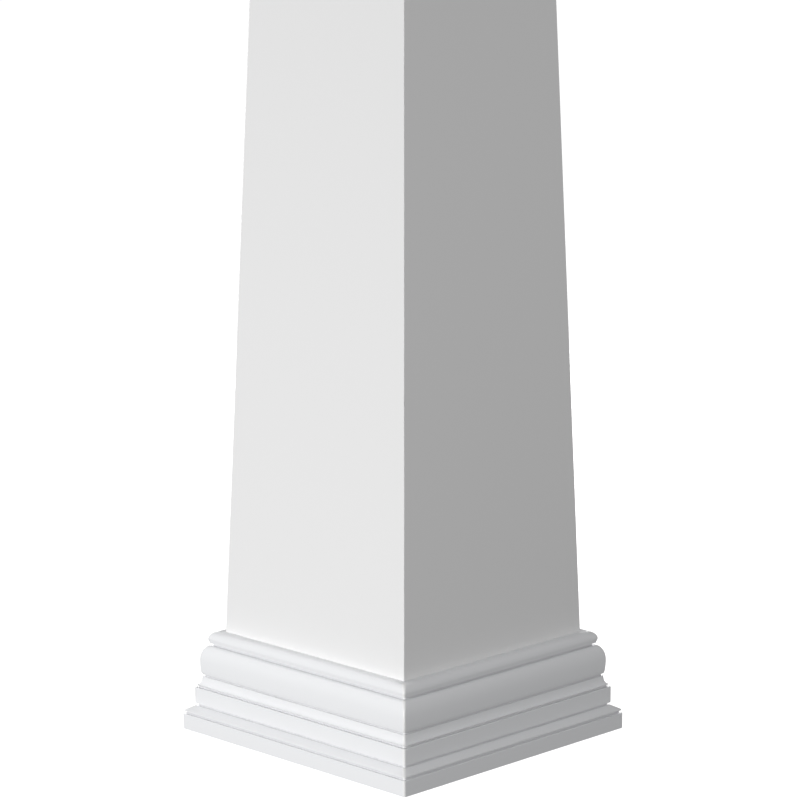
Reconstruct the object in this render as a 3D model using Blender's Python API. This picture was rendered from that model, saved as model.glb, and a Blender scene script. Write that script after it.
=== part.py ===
"""Square tapered column wrap in PVC: four boards round a hollow, a moulded base trim and a plain cap trim.

Run it with blender --background --python part.py, or from the text editor. Metres, +Z up. The origin is the
centre of the column on the floor. The front faces -Y, and the right side faces +X.
"""

import math

import bmesh
import bpy
from mathutils import Vector

# Shaft: a hollow box that narrows evenly from the floor to the beam.
COLUMN_HEIGHT = 1.524
SHAFT_BOTTOM_WIDTH = 0.305
SHAFT_TOP_WIDTH = 0.203
BOARD_THICKNESS = 0.019

# Lock of the corner joint: a step across the mitre, and the run along the mitre that the step stands on.
LOCK_STEP = 0.0025
LOCK_RUN = 0.0045

# Gap left between two pieces that touch.
JOINT_GAP = 0.0003

# Base trim: heights of its members from the floor up.
PLINTH_HEIGHT = 0.0215
LEDGE_HEIGHT = 0.010
BAND_HEIGHT = 0.0225
COVE_HEIGHT = 0.0135
OVOLO_HEIGHT = 0.0375
LIP_HEIGHT = 0.014

# Base trim: how far its members stand out from the shaft's face at the floor.
PLINTH_PROJECTION = 0.033
BAND_PROJECTION = 0.023
COVE_FOOT_PROJECTION = 0.0215
COVE_HEAD_PROJECTION = 0.0165
OVOLO_PROJECTION = 0.0185
OVOLO_HEAD_PROJECTION = 0.009
LIP_PROJECTION = 0.0115

# Cap trim: heights of its members from the beam down.
ABACUS_HEIGHT = 0.034
CAP_OVOLO_HEIGHT = 0.028
CAP_LIP_HEIGHT = 0.012

# Cap trim: how far its members stand out from the shaft's face at the top.
ABACUS_PROJECTION = 0.026
CAP_OVOLO_PROJECTION = 0.020
CAP_OVOLO_HEAD_PROJECTION = 0.0125
CAP_LIP_PROJECTION = 0.015

# Small work that both trims share.
LEDGE_NOSE = 0.0015
OVOLO_RETURN = 0.002
OVOLO_BULGE_SHARE = 0.48
LIP_NOSE_SHARE = 0.35
LIP_UNDERCUT = 0.0015
LIP_ROUND = 0.009
QUIRK_WIDTH = 0.0015
QUIRK_DEPTH = 0.002
ARRIS_RADIUS = 0.001

ARRIS_STEPS = 3
CURVE_STEPS = 10
SMOOTH_BELOW = math.radians(35)

BOARD_COLOUR = (0.86, 0.86, 0.86)
BOARD_ROUGHNESS = 0.55
MOULDING_COLOUR = (0.88, 0.885, 0.90)
MOULDING_ROUGHNESS = 0.38

SIDES = ("front", "right", "back", "left")

# Half the width that the shaft loses for each metre of height.
LEAN = (SHAFT_BOTTOM_WIDTH - SHAFT_TOP_WIDTH) / 2 / COLUMN_HEIGHT
# Thickness of a leaning board, measured level.
LEVEL_THICKNESS = BOARD_THICKNESS * math.hypot(1, LEAN)
# A mitre gap of JOINT_GAP, measured along a face instead of square to the cut.
MITRE_SETBACK = JOINT_GAP / math.sqrt(2)


def clear_scene():
    for obj in list(bpy.data.objects):
        bpy.data.objects.remove(obj, do_unlink=True)


def pvc(name, colour, roughness):
    material = bpy.data.materials.new(name)
    material.use_nodes = True
    shader = material.node_tree.nodes["Principled BSDF"]
    shader.inputs["Base Color"].default_value = (*colour, 1)
    shader.inputs["Roughness"].default_value = roughness
    shader.inputs["Metallic"].default_value = 0
    return material


def quarter_curve(centre, across, up, first, last, steps):
    """Points along an ellipse about centre, from the angle first to the angle last, in degrees."""
    points = []
    for i in range(steps + 1):
        angle = math.radians(first + (last - first) * i / steps)
        points.append((centre[0] + across * math.cos(angle), centre[1] + up * math.sin(angle)))
    return points


def quirk(projection_below, projection_above, height):
    """The narrow sunk line between two members, ending at height."""
    back = min(projection_below, projection_above) - QUIRK_DEPTH
    return [(back, height - QUIRK_WIDTH), (back, height)]


def slab(projection, bottom, top):
    """An upright flat member whose upper arris is eased."""
    ease = quarter_curve(
        (projection - ARRIS_RADIUS, top - ARRIS_RADIUS), ARRIS_RADIUS, ARRIS_RADIUS, 0, 90, ARRIS_STEPS
    )
    return [(projection, bottom), *ease]


def band(projection, bottom, top):
    """An upright flat member with both arrises eased."""
    ease = quarter_curve(
        (projection - ARRIS_RADIUS, bottom + ARRIS_RADIUS), ARRIS_RADIUS, ARRIS_RADIUS, -90, 0, ARRIS_STEPS
    )
    return ease + slab(projection, bottom + ARRIS_RADIUS, top)[1:]


def ledge(nose, back, bottom, top):
    """A weathered ledge that slopes down and out to a small nose."""
    return [(nose, bottom), (nose, bottom + LEDGE_NOSE), (back, top)]


def cove(foot, head, bottom, top):
    """A hollow that starts level at its foot and ends upright at its head."""
    return quarter_curve((foot, top), head - foot, bottom - top, 90, 0, CURVE_STEPS)


def ovolo(bulge, head, bottom, top):
    """A full rounded member: a shallow return below its bulge, and a quarter round above."""
    middle = bottom + (top - bottom) * OVOLO_BULGE_SHARE
    below = quarter_curve((bulge - OVOLO_RETURN, middle), OVOLO_RETURN, middle - bottom, -90, 0, CURVE_STEPS)
    above = quarter_curve((head, middle), bulge - head, top - middle, 0, 90, CURVE_STEPS)
    return below + above[1:]


def lip(projection, bottom, top):
    """The thin rounded member that closes the trim against the shaft."""
    nose = bottom + (top - bottom) * LIP_NOSE_SHARE
    over = quarter_curve((projection - LIP_ROUND, nose), LIP_ROUND, top - nose, 0, 90, CURVE_STEPS)
    return [(projection - LIP_UNDERCUT, bottom), *over]


def heights_of(*members):
    """Running heights of the members' joints, starting at nought."""
    heights = [0]
    for member in members:
        heights.append(heights[-1] + member)
    return heights


def base_outline():
    """Front of the base trim as (projection, height above the floor), from the floor up."""
    floor, plinth_top, ledge_top, band_top, cove_top, ovolo_top, lip_top = heights_of(
        PLINTH_HEIGHT, LEDGE_HEIGHT, BAND_HEIGHT, COVE_HEIGHT, OVOLO_HEIGHT, LIP_HEIGHT
    )
    nose = PLINTH_PROJECTION - ARRIS_RADIUS
    return [
        *slab(PLINTH_PROJECTION, floor, plinth_top - QUIRK_WIDTH),
        *quirk(PLINTH_PROJECTION, nose, plinth_top),
        *ledge(nose, BAND_PROJECTION - ARRIS_RADIUS, plinth_top, ledge_top - QUIRK_WIDTH),
        *quirk(BAND_PROJECTION, BAND_PROJECTION, ledge_top),
        *band(BAND_PROJECTION, ledge_top, band_top - QUIRK_WIDTH),
        *quirk(BAND_PROJECTION, COVE_FOOT_PROJECTION, band_top),
        *cove(COVE_FOOT_PROJECTION, COVE_HEAD_PROJECTION, band_top, cove_top - QUIRK_WIDTH),
        *quirk(COVE_HEAD_PROJECTION, OVOLO_PROJECTION - OVOLO_RETURN, cove_top),
        *ovolo(OVOLO_PROJECTION, OVOLO_HEAD_PROJECTION, cove_top, ovolo_top - QUIRK_WIDTH),
        *quirk(OVOLO_HEAD_PROJECTION, LIP_PROJECTION, ovolo_top),
        *lip(LIP_PROJECTION, ovolo_top, lip_top),
    ]


def cap_outline():
    """Front of the cap trim as (projection, depth below the beam), from the beam down."""
    beam, abacus_foot, ovolo_foot, lip_foot = heights_of(ABACUS_HEIGHT, CAP_OVOLO_HEIGHT, CAP_LIP_HEIGHT)
    return [
        *slab(ABACUS_PROJECTION, beam, abacus_foot - QUIRK_WIDTH),
        *quirk(ABACUS_PROJECTION, CAP_OVOLO_PROJECTION - OVOLO_RETURN, abacus_foot),
        *ovolo(CAP_OVOLO_PROJECTION, CAP_OVOLO_HEAD_PROJECTION, abacus_foot, ovolo_foot - QUIRK_WIDTH),
        *quirk(CAP_OVOLO_HEAD_PROJECTION, CAP_LIP_PROJECTION, ovolo_foot),
        *lip(CAP_LIP_PROJECTION, ovolo_foot, lip_foot),
    ]


def shaft_half_width(height):
    return SHAFT_BOTTOM_WIDTH / 2 - LEAN * height


def trim_section(outline, level, upwards):
    """The closed section of a trim as (distance from the column's axis, height).

    outline starts at the height level and runs upwards, or downwards where upwards is -1. The back of the
    section leans with the shaft's face.
    """
    face = shaft_half_width(level)
    front = [(face + projection, level + upwards * along) for projection, along in outline]
    start, end = front[0][1], front[-1][1]
    back = [(shaft_half_width(height) + JOINT_GAP, height) for height in (end, start)]
    return front + back


def mesh_object(name, bm, material, turn):
    """A node from a bmesh, turned about the column's axis."""
    bmesh.ops.recalc_face_normals(bm, faces=bm.faces)
    mesh = bpy.data.meshes.new(name)
    bm.to_mesh(mesh)
    bm.free()
    mesh.materials.append(material)
    mesh.shade_smooth()
    mesh.set_sharp_from_angle(angle=SMOOTH_BELOW)
    obj = bpy.data.objects.new(name, mesh)
    obj.rotation_euler.z = turn
    bpy.context.scene.collection.objects.link(obj)
    return obj


def lock_mitre():
    """Tongue side of the corner joint as (depth from the face, distance in from the corner)."""
    start = (LEVEL_THICKNESS - LOCK_STEP - LOCK_RUN) / 2
    end = start + LOCK_STEP + LOCK_RUN
    return [
        (0, 0),
        (start, start),
        (start + LOCK_STEP, start),
        (end, start + LOCK_RUN),
        (end, end),
        (LEVEL_THICKNESS, LEVEL_THICKNESS),
    ]


def shaft_board_mesh():
    """One tapered board, its right edge cut to the tongue of the lock and its left edge to the groove."""
    half = shaft_half_width(0)
    tongue = [Vector((half - inset - MITRE_SETBACK, depth - half, 0)) for depth, inset in lock_mitre()]
    groove = [Vector((inset + MITRE_SETBACK - half, depth - half, 0)) for inset, depth in lock_mitre()]
    bm = bmesh.new()
    foot = bm.faces.new([bm.verts.new(point) for point in groove[::-1] + tongue])
    grown = bmesh.ops.extrude_face_region(bm, geom=[foot])["geom"]
    head = [item for item in grown if isinstance(item, bmesh.types.BMVert)]
    drift = LEAN * COLUMN_HEIGHT
    left = [vert for vert in head if vert.co.x < 0]
    right = [vert for vert in head if vert.co.x > 0]
    bmesh.ops.translate(bm, verts=left, vec=(drift, drift, COLUMN_HEIGHT))
    bmesh.ops.translate(bm, verts=right, vec=(-drift, drift, COLUMN_HEIGHT))
    return bm


def trim_length_mesh(section):
    """A length of trim along the front, cut to a mitre at both ends."""
    reach = 2 * max(distance for distance, height in section)
    bm = bmesh.new()
    end = bm.faces.new([bm.verts.new((-reach, -distance, height)) for distance, height in section])
    grown = bmesh.ops.extrude_face_region(bm, geom=[end])["geom"]
    far = [item for item in grown if isinstance(item, bmesh.types.BMVert)]
    bmesh.ops.translate(bm, verts=far, vec=(2 * reach, 0, 0))
    for side in (-1, 1):
        bmesh.ops.bisect_plane(
            bm,
            geom=bm.verts[:] + bm.edges[:] + bm.faces[:],
            plane_co=(-side * MITRE_SETBACK, 0, 0),
            plane_no=Vector((side, 1, 0)).normalized(),
            clear_outer=True,
        )
        bmesh.ops.holes_fill(bm, edges=[edge for edge in bm.edges if edge.is_boundary])
    return bm


def four_round(name, make_mesh, material):
    """Four like pieces round the column, one to a side."""
    for number, side in enumerate(SIDES):
        mesh_object(f"{name}_{side}", make_mesh(), material, number * math.pi / 2)


def build_column():
    clear_scene()
    board = pvc("board_pvc", BOARD_COLOUR, BOARD_ROUGHNESS)
    moulding = pvc("moulding_pvc", MOULDING_COLOUR, MOULDING_ROUGHNESS)
    base_section = trim_section(base_outline(), 0, 1)
    cap_section = trim_section(cap_outline(), COLUMN_HEIGHT, -1)
    four_round("shaft_board", shaft_board_mesh, board)
    four_round("base_trim", lambda: trim_length_mesh(base_section), moulding)
    four_round("cap_trim", lambda: trim_length_mesh(cap_section), moulding)


build_column()
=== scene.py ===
import math

import bmesh
import bpy
from bpy.props import FloatProperty, FloatVectorProperty, IntProperty, PointerProperty
from mathutils import Matrix, Vector


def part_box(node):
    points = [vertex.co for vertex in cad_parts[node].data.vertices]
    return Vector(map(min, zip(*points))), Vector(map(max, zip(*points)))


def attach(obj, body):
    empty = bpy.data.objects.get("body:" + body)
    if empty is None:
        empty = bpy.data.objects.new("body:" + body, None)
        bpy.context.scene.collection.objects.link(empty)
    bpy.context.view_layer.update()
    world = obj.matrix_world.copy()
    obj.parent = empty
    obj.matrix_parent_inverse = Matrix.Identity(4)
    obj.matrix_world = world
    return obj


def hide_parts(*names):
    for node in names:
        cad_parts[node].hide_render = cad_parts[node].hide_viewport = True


bl_info = {
    "name": "Tapered PVC Column",
    "version": (1, 0, 0),
    "blender": (4, 5, 0),
    "location": "View3D > Sidebar > Column",
    "description": "Boards and mitred trims of a tapered square column, in PVC, with a plain studio",
    "category": "Object",
}

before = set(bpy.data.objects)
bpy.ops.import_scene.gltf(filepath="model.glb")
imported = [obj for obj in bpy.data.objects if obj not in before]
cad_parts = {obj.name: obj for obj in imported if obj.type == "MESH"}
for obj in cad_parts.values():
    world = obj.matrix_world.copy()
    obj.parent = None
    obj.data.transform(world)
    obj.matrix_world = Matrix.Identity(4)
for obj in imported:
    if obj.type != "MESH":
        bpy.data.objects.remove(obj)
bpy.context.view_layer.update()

SIDES = ("front", "right", "back", "left")
QUARTER_TURN = math.pi / 2
SAME_PLACE = 1e-5
SMOOTH_BELOW = math.radians(35)

COLUMN_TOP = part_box("shaft_board_front")[1].z
BOARD_SLOT = "board_pvc"
MOULDING_SLOT = "moulding_pvc"
# Painted shade: the sunk lines get a darker copy of the moulding's finish.
PAINTED_SHADE_MATERIAL = "painted_shade_moulding"
# Painted highlight: the rounded corners at the mitres get a whiter finish.
PAINTED_HIGHLIGHT_MATERIAL = "painted_highlight_corner"
FOAM_MATERIAL = "sawn_foam"
PLAIN, PAINTED_SHADE, PAINTED_HIGHLIGHT = range(3)

# Parts of a face's normal that tell a sawn end, a glued back and a face that runs along a moulding.
END_FROM = 0.9
BACK_FROM = 0.5
ALONG_BELOW = 0.1

# Length of the stub turned round a mitre, as a share of a moulding's reach.
STUB = 1 / 8

PVC_IOR = 1.53
FLOOR_WHITE = (0.9, 0.9, 0.9, 1)
FLOOR_ROUGHNESS = 0.9
WHITE = (1, 1, 1, 1)

# Where most of the noise lies.
NOISE_LOW, NOISE_HIGH = 0.25, 0.75

# Grains of noise a metre along each axis.
STREAKS = (26, 26, 0.7)
MOTTLE = (420, 420, 420)
PATCHES = (9, 9, 3)
WAVES = (5, 5, 1.5)
PORES = (900, 900, 900)
DIE_LINES = (1.5, 1.5, 700)
CLOUDS = (14, 14, 14)
SHEEN_LINES = (4, 4, 300)
DIE_WAVES = (8, 8, 60)
DIE_SCRATCHES = (2, 2, 1100)
PAINTED_HIGHLIGHT_TONE = (60, 60, 60)
PAINTED_HIGHLIGHT_CLOUDS = (40, 40, 40)
SANDING = (900, 900, 60)
CELLS = (1600, 1600, 1600)
SAW_MARKS = (380, 30, 30)

# Detail of noise, for slow waves, for open cells and for the rest.
SLOW, OPEN, FULL = 1.0, 2.0, 3.0

# Depths of relief in metres.
WAVE_DEPTH = 0.0006
PORE_DEPTH = 0.000012
DIE_WAVE_DEPTH = 0.00008
DIE_SCRATCH_DEPTH = 0.000008
SANDING_DEPTH = 0.00001
SAW_MARK_DEPTH = 0.00004
CELL_DEPTH = 0.00008

# How far roughness goes up and down, or for the painted highlight only up.
BOARD_SHEEN = 0.06
MOULDING_SHEEN = 0.05
PAINTED_HIGHLIGHT_SHEEN = 0.1
FOAM_SHEEN = 0.08

# Tone of sawn foam at its darkest and lightest, from its cells and from the saw.
CELL_TONE = (0.90, 1.04)
SAW_TONE = (0.97, 1.02)


def length(name, default, description):
    """A size in metres that a user can change."""
    return FloatProperty(
        name=name, description=description, default=default, min=0, precision=4, unit="LENGTH"
    )


def share(name, default, description):
    """A number from nought to one that a user can change."""
    return FloatProperty(name=name, description=description, default=default, min=0, max=1, subtype="FACTOR")


def angle(name, default, description):
    """An angle that a user can change, given here in degrees."""
    return FloatProperty(name=name, description=description, default=math.radians(default), subtype="ANGLE")


def colour(name, default, description):
    """A colour that a user can change."""
    return FloatVectorProperty(
        name=name, description=description, default=default, size=3, min=0, max=1, subtype="COLOR"
    )


def facets(name, default, description):
    """A number of facets that a user can change."""
    return IntProperty(name=name, description=description, default=default, min=1, max=64)


def light_power(name, default, description):
    """The power of a lamp that a user can change."""
    return FloatProperty(name=name, description=description, default=default, min=0, unit="POWER")


class ColumnShaft(bpy.types.PropertyGroup):
    """Sizes of the boards."""

    height: length("Height", COLUMN_TOP, "Height of the column, from the floor to the beam")
    bottom_width: length("Bottom width", 0.305, "Width of the shaft at the floor")
    top_width: length("Top width", 0.203, "Width of the shaft at the beam")
    thickness: length("Board thickness", 0.019, "Thickness of a board")
    lock_step: length("Lock step", 0.0025, "Height of the step in a corner joint")
    lock_run: length("Lock run", 0.0045, "Run along the mitre that the step stands on")
    arris: length("Arris", 0.0006, "Radius of the sanded outer corners")
    seam: length("Seam", 0.00005, "Width of a glued joint")
    arris_facets: facets("Arris facets", 3, "Facets of one board's half of a sanded corner")


class ColumnBaseTrim(bpy.types.PropertyGroup):
    """Heights and projections of the base moulding's members."""

    plinth_height: length("Plinth height", 0.0215, "Height of the plinth")
    ledge_height: length("Ledge height", 0.010, "Height of the weathered ledge")
    band_height: length("Band height", 0.0225, "Height of the band")
    cove_height: length("Cove height", 0.0135, "Height of the cove")
    ovolo_height: length("Ovolo height", 0.0375, "Height of the ovolo")
    lip_height: length("Lip height", 0.014, "Height of the lip")
    plinth: length("Plinth projection", 0.033, "How far the plinth stands out from the shaft")
    band: length("Band projection", 0.023, "How far the band stands out from the shaft")
    cove_foot: length("Cove foot projection", 0.0215, "How far the foot of the cove stands out")
    cove_head: length("Cove head projection", 0.0165, "How far the head of the cove stands out")
    ovolo: length("Ovolo projection", 0.0185, "How far the bulge of the ovolo stands out")
    ovolo_head: length("Ovolo head projection", 0.009, "How far the head of the ovolo stands out")
    lip: length("Lip projection", 0.0115, "How far the lip stands out")


class ColumnCapTrim(bpy.types.PropertyGroup):
    """Heights and projections of the cap moulding's members."""

    abacus_height: length("Abacus height", 0.034, "Height of the abacus")
    ovolo_height: length("Ovolo height", 0.028, "Height of the ovolo")
    lip_height: length("Lip height", 0.012, "Height of the lip")
    abacus: length("Abacus projection", 0.026, "How far the abacus stands out from the shaft")
    ovolo: length("Ovolo projection", 0.020, "How far the bulge of the ovolo stands out")
    ovolo_head: length("Ovolo head projection", 0.0125, "How far the foot of the ovolo stands out")
    lip: length("Lip projection", 0.015, "How far the lip stands out")


class ColumnMouldedWork(bpy.types.PropertyGroup):
    """Small work that both mouldings share."""

    ledge_nose: length("Ledge nose", 0.0015, "Height of the ledge's nose")
    ovolo_return: length("Ovolo return", 0.002, "How far an ovolo draws back below its bulge")
    ovolo_bulge: share("Ovolo bulge", 0.48, "Height of the bulge as a share of the ovolo")
    lip_nose: share("Lip nose", 0.35, "Height of the nose as a share of the lip")
    lip_undercut: length("Lip undercut", 0.0015, "How far a lip draws back below its nose")
    lip_round: length("Lip round", 0.009, "Depth of the round over a lip")
    quirk_width: length("Quirk width", 0.0027, "Width of the sunk line between two members")
    quirk_depth: length("Quirk depth", 0.002, "Depth of the sunk line between two members")
    arris: length("Arris", 0.001, "Radius of the eased arrises")
    fine_arris: length("Fine arris", 0.0005, "Radius of the arrises beside a sunk line")
    mitre_arris: length("Mitre arris", 0.0022, "Radius of the eased outer corner at a mitre")
    back_gap: length("Back gap", 0.0003, "Gap between the back of a moulding and the shaft")
    seam: length("Seam", 0.00005, "Width of a glued joint")
    arris_facets: facets("Arris facets", 5, "Facets of an eased arris")
    fine_facets: facets("Fine facets", 3, "Facets of a fine arris")
    mitre_facets: facets("Mitre facets", 8, "Facets of the eased corner of two lengths together")
    curve_facets: facets("Curve facets", 24, "Facets of a quarter round")


class ColumnLooks(bpy.types.PropertyGroup):
    """Colours and finishes of the PVC."""

    board: colour("Board", (0.80, 0.80, 0.80), "Colour of the boards")
    moulding: colour("Moulding", (0.86, 0.865, 0.885), "Colour of the mouldings")
    # Painted shade: a darker colour on the sunk lines in place of their shadow.
    painted_shade: colour("Painted shade", (0.775, 0.779, 0.796), "Colour of the painted shade in the sunk lines")
    # Painted highlight: a whiter colour on the rounded corners at the mitres in place of a highlight.
    painted_highlight: colour("Painted highlight", (0.95, 0.95, 0.95), "Colour of the painted highlight on the mitred corners of the mouldings")
    foam: colour("Sawn foam", (0.74, 0.735, 0.715), "Colour of the sawn ends of the boards")
    board_roughness: share("Board roughness", 0.50, "Roughness of the boards")
    moulding_roughness: share("Moulding roughness", 0.36, "Roughness of the mouldings")
    foam_roughness: share("Sawn foam roughness", 0.85, "Roughness of the sawn ends")
    tone: share("Tone", 0.03, "How much the tone of the PVC wanders")


class ColumnStage(bpy.types.PropertyGroup):
    """The floor, the light and the camera."""

    floor_size: length("Floor size", 60, "Width of the floor")
    floor_glow: share("Floor glow", 0.90, "How much light the white floor gives off by itself")
    sky_glow: share("Sky glow", 0.15, "Strength of the light from all round")
    key_power: light_power("Key power", 200, "Power of the large lamp that lights the front")
    key_size: length("Key size", 1.8, "Width of the large lamp")
    key_distance: length("Key distance", 4.5, "Level distance of the large lamp from the column")
    key_height: length("Key height", 0.8, "Height of the large lamp")
    key_azimuth: angle("Key azimuth", 10, "Turn of the large lamp round the column, from the front")
    key_swing: angle("Key swing", 36, "How far the large lamp is turned to the left of the column")
    key_tilt: angle("Key tilt", 38, "How far the large lamp is tilted down")
    fill_power: light_power("Fill power", 12.4, "Power of the lamp that lights the right side")
    fill_size: length("Fill size", 1.2, "Width of the fill lamp")
    fill_distance: length("Fill distance", 2.6, "Level distance of the fill lamp from the column")
    fill_height: length("Fill height", 0.95, "Height of the fill lamp")
    fill_azimuth: angle("Fill azimuth", 100, "Turn of the fill lamp round the column, from the front")
    fill_tilt: angle("Fill tilt", -3, "How far the fill lamp is tilted down")
    high_power: light_power("High power", 66, "Power of the high lamp on the left")
    high_size: length("High size", 1.6, "Width of the high lamp")
    high_distance: length("High distance", 4.5, "Level distance of the high lamp from the column")
    high_height: length("High height", 4.0, "Height of the high lamp")
    high_azimuth: angle("High azimuth", -62, "Turn of the high lamp round the column, from the front")
    high_tilt: angle("High tilt", 50, "How far the high lamp is tilted down")
    top_power: light_power("Top power", 3, "Power of the small lamp over the top of the column")
    top_size: length("Top size", 0.14, "Width of the small lamp over the top")
    top_clearance: length("Top clearance", 0.65, "How far the small lamp hangs above the column")
    back_power: light_power("Back power", 24, "Power of the lamp behind the column")
    back_azimuth: angle("Back azimuth", 225, "Turn of the lamp behind the column, from the front")
    camera_distance: length("Camera distance", 3.666, "Level distance of the camera from the column")
    camera_height: length("Camera height", 1.129, "Height of the camera above the floor")
    camera_azimuth: angle("Camera azimuth", 44.66, "Turn of the camera round the column, from the front")
    camera_pitch: angle("Camera pitch", 11.27, "How far the camera looks down")
    camera_swing: angle("Camera swing", 0.054, "How far the camera looks to the left of the column")
    lens: FloatProperty(name="Lens", description="Focal length of the camera", default=144.1, unit="CAMERA")


def add_node(tree, kind, inputs=(), **settings):
    """Adds a node, sets its own values, and fills its inputs with values or with other nodes' outputs."""
    node = tree.nodes.new("ShaderNode" + kind)
    for setting, value in settings.items():
        setattr(node, setting, value)
    for socket, value in dict(inputs).items():
        if isinstance(value, bpy.types.NodeSocket):
            tree.links.new(value, node.inputs[socket])
        else:
            node.inputs[socket].default_value = value
    return node


def noise(tree, grains, detail=FULL):
    """Noise over the object's own coordinates, with that many grains a metre along each axis."""
    place = add_node(tree, "TexCoord").outputs["Object"]
    scaled = add_node(tree, "Mapping", {"Vector": place, "Scale": grains}).outputs["Vector"]
    made = add_node(tree, "TexNoise", {"Vector": scaled, "Scale": 1.0, "Detail": detail, "Roughness": 0.55})
    return made.outputs["Fac"]


def spread(tree, value, low, high):
    """Turns noise, which lies mostly about a half, into a number from low to high."""
    limits = {"From Min": NOISE_LOW, "From Max": NOISE_HIGH, "To Min": low, "To Max": high}
    return add_node(tree, "MapRange", {"Value": value, **limits}).outputs["Result"]


def product(tree, first, second):
    return add_node(tree, "Math", {0: first, 1: second}, operation="MULTIPLY").outputs["Value"]


def relief(tree, layers):
    """Bumps of several scales, one over the other, from (height signal, depth in metres) pairs."""
    normal = None
    for signal, depth in layers:
        bump = add_node(tree, "Bump", {"Height": signal, "Strength": 1.0, "Distance": depth})
        if normal is not None:
            tree.links.new(normal, bump.inputs["Normal"])
        normal = bump.outputs["Normal"]
    return normal


def pvc_material(name, tint, tone, roughness, layers):
    """A material of one colour whose tone, roughness and surface follow the signals given for them."""
    material = bpy.data.materials.new(name)
    material.use_nodes = True
    tree = material.node_tree
    shader = tree.nodes["Principled BSDF"]
    scale = tone(tree)
    toned = add_node(tree, "VectorMath", {0: tint, "Scale": scale}, operation="SCALE").outputs["Vector"]
    tree.links.new(toned, shader.inputs["Base Color"])
    tree.links.new(roughness(tree), shader.inputs["Roughness"])
    tree.links.new(relief(tree, layers(tree)), shader.inputs["Normal"])
    shader.inputs["IOR"].default_value = PVC_IOR
    material.diffuse_color = (*tint, 1)
    return material


def board_finish(looks):
    """Satin board: faint streaks from rolling, a fine mottle, and a surface that is not quite flat."""

    def tone(tree):
        streaks = spread(tree, noise(tree, STREAKS), 1 - looks.tone, 1 + looks.tone / 2)
        mottle = spread(tree, noise(tree, MOTTLE), 1 - looks.tone / 3, 1 + looks.tone / 3)
        return product(tree, streaks, mottle)

    def roughness(tree):
        middle = looks.board_roughness
        return spread(tree, noise(tree, PATCHES), middle - BOARD_SHEEN, middle + BOARD_SHEEN)

    def layers(tree):
        return [(noise(tree, WAVES, SLOW), WAVE_DEPTH), (noise(tree, PORES), PORE_DEPTH)]

    return pvc_material(BOARD_SLOT, tuple(looks.board), tone, roughness, layers)


def drawn_finish(name, tint, looks):
    """Smoother moulding: level lines from the die it was drawn through, over a faint unevenness."""

    def tone(tree):
        lines = spread(tree, noise(tree, DIE_LINES), 1 - looks.tone / 2, 1 + looks.tone / 4)
        clouds = spread(tree, noise(tree, CLOUDS), 1 - looks.tone / 3, 1 + looks.tone / 3)
        return product(tree, lines, clouds)

    def roughness(tree):
        middle = looks.moulding_roughness
        return spread(tree, noise(tree, SHEEN_LINES), middle - MOULDING_SHEEN, middle + MOULDING_SHEEN)

    def layers(tree):
        waves = noise(tree, DIE_WAVES, SLOW)
        return [(waves, DIE_WAVE_DEPTH), (noise(tree, DIE_SCRATCHES), DIE_SCRATCH_DEPTH)]

    return pvc_material(name, tuple(tint), tone, roughness, layers)


def moulding_finish(looks):
    """Finish of the faces of a moulding."""
    return drawn_finish(MOULDING_SLOT, looks.moulding, looks)


def painted_shade_finish(looks):
    """Darker finish on the sunk lines between a moulding's members: painted shade that stands in for their
    shadow.
    """
    return drawn_finish(PAINTED_SHADE_MATERIAL, looks.painted_shade, looks)


def painted_highlight_finish(looks):
    """Whiter finish on the rounded corner at a mitre, a painted highlight: fine scratches along the corner,
    and a tone that hardly wanders.
    """

    def tone(tree):
        return spread(tree, noise(tree, PAINTED_HIGHLIGHT_TONE), 1 - looks.tone / 3, 1)

    def roughness(tree):
        lowest = looks.moulding_roughness
        return spread(tree, noise(tree, PAINTED_HIGHLIGHT_CLOUDS), lowest, lowest + PAINTED_HIGHLIGHT_SHEEN)

    def layers(tree):
        return [(noise(tree, SANDING), SANDING_DEPTH)]

    return pvc_material(PAINTED_HIGHLIGHT_MATERIAL, tuple(looks.painted_highlight), tone, roughness, layers)


def foam_finish(looks):
    """Sawn end of a board: open cells, and the marks that the saw left across them."""

    def tone(tree):
        cells = spread(tree, noise(tree, CELLS, OPEN), *CELL_TONE)
        marks = spread(tree, noise(tree, SAW_MARKS), *SAW_TONE)
        return product(tree, cells, marks)

    def roughness(tree):
        middle = looks.foam_roughness
        return spread(tree, noise(tree, CELLS, OPEN), middle - FOAM_SHEEN, middle + FOAM_SHEEN)

    def layers(tree):
        return [(noise(tree, SAW_MARKS), SAW_MARK_DEPTH), (noise(tree, CELLS, OPEN), CELL_DEPTH)]

    return pvc_material(FOAM_MATERIAL, tuple(looks.foam), tone, roughness, layers)


def material_of(name, make):
    """The material of that name, made by make the first time it is asked for."""
    return bpy.data.materials.get(name) or make(bpy.context.scene.column_looks)


def new_verts(grown):
    return [item for item in grown if isinstance(item, bmesh.types.BMVert)]


def new_edges(grown):
    return [item for item in grown if isinstance(item, bmesh.types.BMEdge)]


def ease(bm, edges, radius, number):
    """Rounds edges by radius, with that number of facets. The faces beside them have room for the radius."""
    bmesh.ops.bevel(
        bm,
        geom=edges,
        offset=radius,
        offset_type="OFFSET",
        segments=number,
        profile=0.5,
        affect="EDGES",
        material=-1,
        clamp_overlap=False,
        loop_slide=True,
    )


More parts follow.
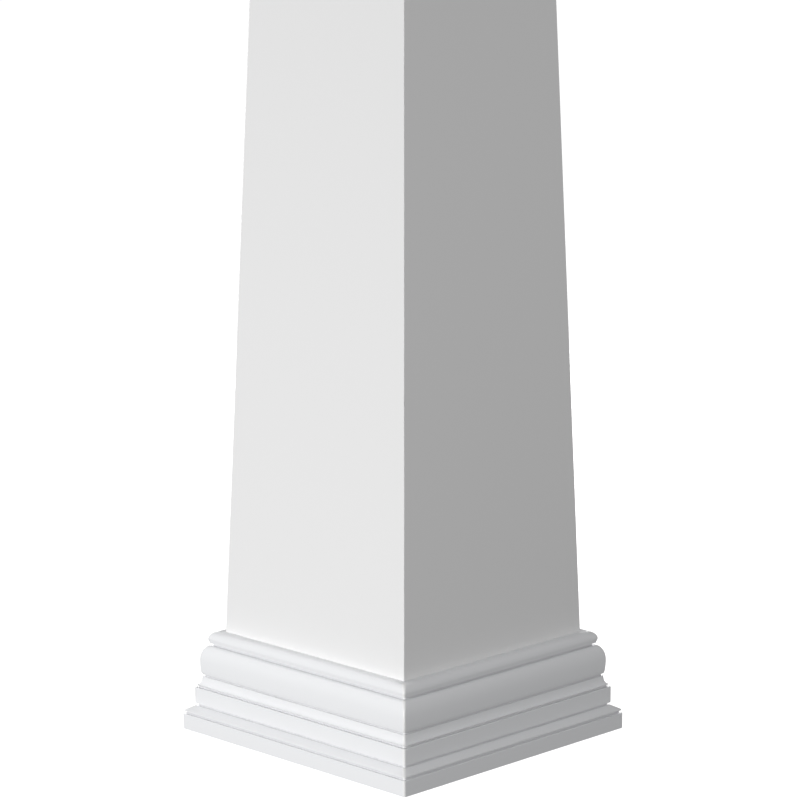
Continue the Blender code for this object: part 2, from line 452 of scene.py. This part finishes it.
def add_piece(name, bm, turn, materials, node):
    """A piece from a bmesh, turned about the column's axis in its mesh, in place of a solid of the frame."""
    bmesh.ops.rotate(bm, verts=bm.verts[:], cent=(0, 0, 0), matrix=Matrix.Rotation(turn, 3, "Z"))
    bmesh.ops.recalc_face_normals(bm, faces=bm.faces[:])
    mesh = bpy.data.meshes.new(name)
    bm.to_mesh(mesh)
    bm.free()
    for material in materials:
        mesh.materials.append(material)
    mesh.shade_smooth()
    mesh.set_sharp_from_angle(angle=SMOOTH_BELOW)
    piece = bpy.data.objects.new(name, mesh)
    bpy.context.scene.collection.objects.link(piece)
    flat = piece.modifiers.new("Flat faces stay flat", "WEIGHTED_NORMAL")
    flat.weight = 100
    flat.keep_sharp = True
    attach(piece, "root")
    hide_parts(node)


def lean_of(shaft):
    """Half the width that the shaft loses for each metre of height."""
    return (shaft.bottom_width - shaft.top_width) / 2 / shaft.height


def half_width(shaft, height):
    return shaft.bottom_width / 2 - lean_of(shaft) * height


def lock_mitre(shaft):
    """Tongue side of a corner joint, as (depth from the face, distance in from the corner)."""
    level_thickness = shaft.thickness * math.hypot(1, lean_of(shaft))
    start = (level_thickness - shaft.lock_step - shaft.lock_run) / 2
    end = start + shaft.lock_step + shaft.lock_run
    return [
        (start, start),
        (start + shaft.lock_step, start),
        (end, start + shaft.lock_run),
        (end, end),
        (level_thickness, level_thickness),
    ]


def board_mesh(shaft):
    """One tapered board: eased corners, a tongue along its right edge and a groove along its left."""
    half = shaft.bottom_width / 2
    setback = shaft.seam / math.sqrt(2)
    joint = lock_mitre(shaft)
    tongue = [(half - inset - setback, depth - half, 0) for depth, inset in joint]
    groove = [(inset + setback - half, depth - half, 0) for inset, depth in joint]
    bm = bmesh.new()
    inside = [bm.verts.new(point) for point in tongue + groove[::-1]]
    face_ends = []
    for side in (-1, 1):
        start = bm.verts.new((side * (half - setback - shaft.arris), -half, 0))
        centre = start.co + Vector((0, shaft.arris, 0))
        bmesh.ops.spin(
            bm,
            geom=[start],
            cent=centre,
            axis=(0, 0, 1),
            angle=side * QUARTER_TURN / 2,
            steps=shaft.arris_facets,
        )
        bm.verts.ensure_lookup_table()
        face_ends.append([start, *bm.verts[-shaft.arris_facets:]])
    left, right = face_ends
    foot = bm.faces.new([*left[::-1], *right, *inside])
    grown = bmesh.ops.extrude_face_region(bm, geom=[foot])["geom"]
    drift = lean_of(shaft) * shaft.height
    for side in (-1, 1):
        end = [vert for vert in new_verts(grown) if vert.co.x * side > 0]
        bmesh.ops.translate(bm, verts=end, vec=(-side * drift, drift, shaft.height))
    for face in bm.faces:
        face.normal_update()
        face.material_index = int(abs(face.normal.z) > END_FROM)
    return bm


class Section:
    """The front of a moulding, drawn from the end that starts at the height level and running up or down."""

    def __init__(self, shaft, work, level, upwards):
        self.shaft = shaft
        self.work = work
        self.level = level
        self.upwards = upwards
        self.bm = bmesh.new()
        self.pen = None
        self.eased = []
        self.finely_eased = []
        self.sunk = []

    def place(self, projection, along):
        distance = half_width(self.shaft, self.level) + projection
        return Vector((0, -distance, self.level + self.upwards * along))

    def line(self, projection, along):
        """Draws a line from the pen to a point."""
        if self.pen is None:
            self.pen = self.bm.verts.new()
        else:
            self.pen = bmesh.ops.extrude_vert_indiv(self.bm, verts=[self.pen])["verts"][0]
        self.pen.co = self.place(projection, along)

    def soft_line(self, projection, along):
        """Draws a line to a point whose arris is eased."""
        self.line(projection, along)
        self.eased.append(self.pen)

    def fine_line(self, projection, along):
        """Draws a line to a point whose arris is finely eased."""
        self.line(projection, along)
        self.finely_eased.append(self.pen)

    def quarter(self, projection, along, level_first):
        """Draws a quarter of an ellipse from the pen to a point, leaving the pen level or plumb."""
        start = self.pen.co.copy()
        end = self.place(projection, along)
        centre = Vector((0, start.y, end.z)) if level_first else Vector((0, end.y, start.z))
        arm = start - centre
        reach = end - centre
        drawn = len(self.bm.verts)
        bmesh.ops.spin(
            self.bm,
            geom=[self.pen],
            cent=centre,
            axis=(1, 0, 0),
            angle=math.copysign(QUARTER_TURN, arm.cross(reach).x),
            steps=self.work.curve_facets,
        )
        self.bm.verts.ensure_lookup_table()
        curve = self.bm.verts[drawn:]
        stretch = reach.length / arm.length
        across_or_up = (1, stretch, 1) if level_first else (1, 1, stretch)
        bmesh.ops.scale(self.bm, verts=curve, vec=across_or_up, space=Matrix.Translation(-centre))
        self.pen = curve[-1]

    def slab(self, projection, bottom, top):
        """An upright flat member whose far arris is eased."""
        self.line(projection, bottom)
        self.soft_line(projection, top)

    def band(self, projection, bottom, top):
        """An upright flat member with both arrises eased."""
        self.soft_line(projection, bottom)
        self.soft_line(projection, top)

    def quirk(self, projection_before, projection_after, end):
        """The narrow sunk line between two members."""
        mouth = min(projection_before, projection_after)
        back = mouth - self.work.quirk_depth
        self.line(back, end - self.work.quirk_width)
        start = self.pen
        self.line(back, end)
        heights = sorted((start.co.z, self.pen.co.z))
        self.sunk.append((*heights, half_width(self.shaft, self.level) + mouth))

    def finish_of(self, face):
        """Number of the finish of a face: the moulding's own, a sunk line's painted shade or a mitred
        corner's painted highlight.
        """
        centre = face.calc_center_median()
        glued = face.normal.y > BACK_FROM
        runs_along = abs(face.normal.x) < ALONG_BELOW
        for low, high, mouth in self.sunk:
            if runs_along and low - SAME_PLACE < centre.z < high + SAME_PLACE and -centre.y < mouth:
                # Painted shade: the faces of a sunk line get the darker finish.
                return PAINTED_SHADE
        # A face of the rounding has its centre by the mitre, and a long face has its own halfway along.
        at_mitre = -centre.y - abs(centre.x) < 2 * self.work.mitre_arris
        # Painted highlight: a face of the rounded corner at a mitre gets the whiter finish.
        return PAINTED_HIGHLIGHT if at_mitre and not glued else PLAIN

    def ledge(self, nose, back, bottom, top):
        """A weathered ledge that slopes back from a small nose."""
        self.fine_line(nose, bottom)
        self.fine_line(nose, bottom + self.work.ledge_nose)
        self.fine_line(back, top)

    def cove(self, foot, head, bottom, top):
        """A hollow that starts level at its foot and ends upright at its head."""
        self.line(foot, bottom)
        self.quarter(head, top, True)

    def ovolo(self, bulge, head, bottom, top):
        """A full rounded member: a shallow return before its bulge, and a quarter round after it."""
        middle = bottom + (top - bottom) * self.work.ovolo_bulge
        self.line(bulge - self.work.ovolo_return, bottom)
        self.quarter(bulge, middle, True)
        self.quarter(head, top, False)

    def lip(self, projection, bottom, top):
        """The thin rounded member that closes the moulding against the shaft."""
        nose = bottom + (top - bottom) * self.work.lip_nose
        self.fine_line(projection - self.work.lip_undercut, bottom)
        self.line(projection, nose)
        self.quarter(projection - self.work.lip_round, top, False)

    def back_distance(self, height):
        return half_width(self.shaft, height) + self.work.back_gap

    def close(self):
        """Draws the back, which leans with the shaft, round to the first point."""
        self.bm.verts.ensure_lookup_table()
        first = self.bm.verts[0]
        for height in (self.pen.co.z, first.co.z):
            self.pen = bmesh.ops.extrude_vert_indiv(self.bm, verts=[self.pen])["verts"][0]
            self.pen.co = (0, -self.back_distance(height), height)
        self.bm.edges.new((self.pen, first))


def running(*members):
    """Running heights of the members' joints, starting at nought."""
    joints = [0]
    for member in members:
        joints.append(joints[-1] + member)
    return joints


def base_section(shaft, trim, work):
    """Section of the base moulding, from the floor up."""
    floor, plinth_top, ledge_top, band_top, cove_top, ovolo_top, lip_top = running(
        trim.plinth_height,
        trim.ledge_height,
        trim.band_height,
        trim.cove_height,
        trim.ovolo_height,
        trim.lip_height,
    )
    nose = trim.plinth - work.arris
    section = Section(shaft, work, 0, 1)
    section.slab(trim.plinth, floor, plinth_top - work.quirk_width)
    section.quirk(trim.plinth, nose, plinth_top)
    section.ledge(nose, trim.band - work.arris, plinth_top, ledge_top - work.quirk_width)
    section.quirk(trim.band - work.arris, trim.band, ledge_top)
    section.band(trim.band, ledge_top, band_top - work.quirk_width)
    section.quirk(trim.band, trim.cove_foot, band_top)
    section.cove(trim.cove_foot, trim.cove_head, band_top, cove_top - work.quirk_width)
    section.quirk(trim.cove_head, trim.ovolo - work.ovolo_return, cove_top)
    section.ovolo(trim.ovolo, trim.ovolo_head, cove_top, ovolo_top - work.quirk_width)
    section.quirk(trim.ovolo_head, trim.lip, ovolo_top)
    section.lip(trim.lip, ovolo_top, lip_top)
    section.close()
    return section


def cap_section(shaft, trim, work):
    """Section of the cap moulding, from the beam down."""
    beam, abacus_foot, ovolo_foot, lip_foot = running(
        trim.abacus_height, trim.ovolo_height, trim.lip_height
    )
    section = Section(shaft, work, shaft.height, -1)
    section.slab(trim.abacus, beam, abacus_foot - work.quirk_width)
    section.quirk(trim.abacus, trim.ovolo - work.ovolo_return, abacus_foot)
    section.ovolo(trim.ovolo, trim.ovolo_head, abacus_foot, ovolo_foot - work.quirk_width)
    section.quirk(trim.ovolo_head, trim.lip, ovolo_foot)
    section.lip(trim.lip, ovolo_foot, lip_foot)
    section.close()
    return section


def mitre_cut(bm, side, setback):
    """Cuts the moulding at the mitre on one side, and returns the edges of the cut."""
    cut = bmesh.ops.bisect_plane(
        bm,
        geom=bm.verts[:] + bm.edges[:] + bm.faces[:],
        dist=SAME_PLACE / 10,
        plane_co=(-side * setback, 0, 0),
        plane_no=Vector((side, 1, 0)).normalized(),
        clear_outer=True,
    )
    return new_edges(cut["geom_cut"])


def moulding_mesh(section):
    """A length of moulding along the front: drawn out, eased, turned round both corners and cut off there."""
    bm = section.bm
    work = section.work
    reach = 2 * max(-vert.co.y for vert in bm.verts)
    bmesh.ops.translate(bm, verts=bm.verts[:], vec=(-reach, 0, 0))
    grown = bmesh.ops.extrude_edge_only(bm, edges=bm.edges[:])["geom"]
    bmesh.ops.translate(bm, verts=new_verts(grown), vec=(2 * reach, 0, 0))

    def arrises(corners):
        return [edge for vert in corners for edge in vert.link_edges if edge.calc_length() > reach]

    fine = arrises(section.finely_eased)
    ease(bm, arrises(section.eased), work.arris, work.arris_facets)
    ease(bm, fine, work.fine_arris, work.fine_facets)
    corner_edges = []
    for side in (-1, 1):
        mitre = mitre_cut(bm, side, 0)
        corner_edges += [
            edge
            for edge in mitre
            if all(-vert.co.y > section.back_distance(vert.co.z) + SAME_PLACE for vert in edge.verts)
        ]
        turned = bmesh.ops.extrude_edge_only(bm, edges=mitre)["geom"]
        bmesh.ops.translate(bm, verts=new_verts(turned), vec=(0, reach * STUB, 0))
    ease(bm, corner_edges, work.mitre_arris, work.mitre_facets)
    for side in (-1, 1):
        mitre_cut(bm, side, work.seam / math.sqrt(2))
        bmesh.ops.holes_fill(bm, edges=[edge for edge in bm.edges if edge.is_boundary])
    bmesh.ops.recalc_face_normals(bm, faces=bm.faces[:])
    for face in bm.faces:
        face.material_index = section.finish_of(face)
    return bm


def moulding_materials():
    """The finishes of a length of moulding, in the order of its material slots."""
    return [
        material_of(MOULDING_SLOT, moulding_finish),
        # Painted shade in the sunk lines.
        material_of(PAINTED_SHADE_MATERIAL, painted_shade_finish),
        # Painted highlight on the rounded corners at the mitres.
        material_of(PAINTED_HIGHLIGHT_MATERIAL, painted_highlight_finish),
    ]


class COLUMN_OT_boards(bpy.types.Operator):
    """Add the four tapered boards of the shaft"""

    bl_idname = "column.boards"
    bl_label = "Shaft boards"

    def execute(self, context):
        shaft = context.scene.column_shaft
        materials = [material_of(BOARD_SLOT, board_finish), material_of(FOAM_MATERIAL, foam_finish)]
        for number, side in enumerate(SIDES):
            turn = number * QUARTER_TURN
            bm = board_mesh(shaft)
            add_piece(f"board_{side}", bm, turn, materials, f"shaft_board_{side}")
        return {"FINISHED"}


class COLUMN_OT_base_mouldings(bpy.types.Operator):
    """Add the four mitred lengths of moulding round the foot of the shaft"""

    bl_idname = "column.base_mouldings"
    bl_label = "Base mouldings"

    def execute(self, context):
        scene = context.scene
        materials = moulding_materials()
        for number, side in enumerate(SIDES):
            turn = number * QUARTER_TURN
            section = base_section(scene.column_shaft, scene.column_base, scene.column_work)
            bm = moulding_mesh(section)
            add_piece(f"base_moulding_{side}", bm, turn, materials, f"base_trim_{side}")
        return {"FINISHED"}


class COLUMN_OT_cap_mouldings(bpy.types.Operator):
    """Add the four mitred lengths of moulding round the head of the shaft"""

    bl_idname = "column.cap_mouldings"
    bl_label = "Cap mouldings"

    def execute(self, context):
        scene = context.scene
        materials = moulding_materials()
        for number, side in enumerate(SIDES):
            turn = number * QUARTER_TURN
            section = cap_section(scene.column_shaft, scene.column_cap, scene.column_work)
            bm = moulding_mesh(section)
            add_piece(f"cap_moulding_{side}", bm, turn, materials, f"cap_trim_{side}")
        return {"FINISHED"}


def round_column(azimuth, distance, height):
    """A place at that azimuth from the front, distance from the column's axis and height."""
    return Vector((distance * math.sin(azimuth), -distance * math.cos(azimuth), height))


def add_lamp(name, power, size, place, tilt, turn):
    """A square soft lamp that looks level at azimuth turn, then is tilted down from there."""
    lamp = bpy.data.lights.new(name, "AREA")
    lamp.shape = "SQUARE"
    lamp.size = size
    lamp.energy = power
    obj = bpy.data.objects.new(name, lamp)
    obj.location = place
    obj.rotation_euler = (QUARTER_TURN - tilt, 0, turn)
    bpy.context.scene.collection.objects.link(obj)


def add_floor(stage):
    """A plain white floor that glows, as a light table does, and throws no light on the column."""
    bm = bmesh.new()
    bmesh.ops.create_grid(bm, x_segments=1, y_segments=1, size=stage.floor_size / 2)
    mesh = bpy.data.meshes.new("floor")
    bm.to_mesh(mesh)
    bm.free()
    material = bpy.data.materials.new("white_floor")
    material.use_nodes = True
    shader = material.node_tree.nodes["Principled BSDF"]
    shader.inputs["Base Color"].default_value = FLOOR_WHITE
    shader.inputs["Roughness"].default_value = FLOOR_ROUGHNESS
    shader.inputs["Emission Color"].default_value = WHITE
    shader.inputs["Emission Strength"].default_value = stage.floor_glow
    mesh.materials.append(material)
    floor = bpy.data.objects.new("floor", mesh)
    floor.visible_diffuse = False
    floor.visible_glossy = False
    bpy.context.scene.collection.objects.link(floor)


def add_sky(stage):
    """White behind the column, and a dimmer even light from all round."""
    world = bpy.data.worlds.new("studio")
    world.use_nodes = True
    tree = world.node_tree
    tree.nodes.clear()
    seen = add_node(tree, "Background", {"Color": WHITE, "Strength": 1.0})
    light = add_node(tree, "Background", {"Color": WHITE, "Strength": stage.sky_glow})
    straight = add_node(tree, "LightPath").outputs["Is Camera Ray"]
    both = add_node(tree, "MixShader", {0: straight, 1: light.outputs[0], 2: seen.outputs[0]})
    add_node(tree, "OutputWorld", {"Surface": both.outputs[0]})
    bpy.context.scene.world = world


def add_camera(stage):
    camera = bpy.data.cameras.new("camera")
    camera.lens = stage.lens
    camera.sensor_width = 36
    obj = bpy.data.objects.new("camera", camera)
    obj.location = round_column(stage.camera_azimuth, stage.camera_distance, stage.camera_height)
    turn = stage.camera_azimuth + stage.camera_swing
    obj.rotation_euler = (QUARTER_TURN - stage.camera_pitch, 0, turn)
    bpy.context.scene.collection.objects.link(obj)
    bpy.context.scene.camera = obj


class COLUMN_OT_stage(bpy.types.Operator):
    """Add the white floor, the lamps and the camera"""

    bl_idname = "column.stage"
    bl_label = "Floor, lamps and camera"

    def execute(self, context):
        stage = context.scene.column_stage
        add_floor(stage)
        add_sky(stage)
        key = round_column(stage.key_azimuth, stage.key_distance, stage.key_height)
        key_turn = stage.key_azimuth + stage.key_swing
        add_lamp("key_lamp", stage.key_power, stage.key_size, key, stage.key_tilt, key_turn)
        fill = round_column(stage.fill_azimuth, stage.fill_distance, stage.fill_height)
        add_lamp("fill_lamp", stage.fill_power, stage.fill_size, fill, stage.fill_tilt, stage.fill_azimuth)
        back = round_column(stage.back_azimuth, stage.fill_distance, stage.fill_height)
        add_lamp("back_lamp", stage.back_power, stage.fill_size, back, stage.fill_tilt, stage.back_azimuth)
        high = round_column(stage.high_azimuth, stage.high_distance, stage.high_height)
        add_lamp("high_lamp", stage.high_power, stage.high_size, high, stage.high_tilt, stage.high_azimuth)
        top = Vector((0, 0, context.scene.column_shaft.height + stage.top_clearance))
        add_lamp("top_lamp", stage.top_power, stage.top_size, top, QUARTER_TURN, 0)
        add_camera(stage)
        context.scene.view_settings.view_transform = "Standard"
        return {"FINISHED"}


OPERATORS = (COLUMN_OT_boards, COLUMN_OT_base_mouldings, COLUMN_OT_cap_mouldings, COLUMN_OT_stage)
SETTINGS = {
    "column_shaft": ColumnShaft,
    "column_base": ColumnBaseTrim,
    "column_cap": ColumnCapTrim,
    "column_work": ColumnMouldedWork,
    "column_looks": ColumnLooks,
    "column_stage": ColumnStage,
}


class COLUMN_PT_panel(bpy.types.Panel):
    """Buttons and sizes of the column"""

    bl_label = "Tapered Column"
    bl_idname = "COLUMN_PT_panel"
    bl_space_type = "VIEW_3D"
    bl_region_type = "UI"
    bl_category = "Column"

    def draw(self, context):
        layout = self.layout
        for operator in OPERATORS:
            layout.operator(operator.bl_idname)
        for setting, group in SETTINGS.items():
            box = layout.box()
            box.label(text=group.__doc__)
            for name in group.__annotations__:
                box.prop(getattr(context.scene, setting), name)


def register():
    for group in SETTINGS.values():
        bpy.utils.register_class(group)
    for operator in OPERATORS:
        bpy.utils.register_class(operator)
    bpy.utils.register_class(COLUMN_PT_panel)
    for setting, group in SETTINGS.items():
        setattr(bpy.types.Scene, setting, PointerProperty(type=group))


def unregister():
    for setting in SETTINGS:
        delattr(bpy.types.Scene, setting)
    bpy.utils.unregister_class(COLUMN_PT_panel)
    for operator in OPERATORS:
        bpy.utils.unregister_class(operator)
    for group in SETTINGS.values():
        bpy.utils.unregister_class(group)


def main():
    register()
    bpy.ops.column.boards()
    bpy.ops.column.base_mouldings()
    bpy.ops.column.cap_mouldings()
    bpy.ops.column.stage()


if __name__ == "__main__":
    main()
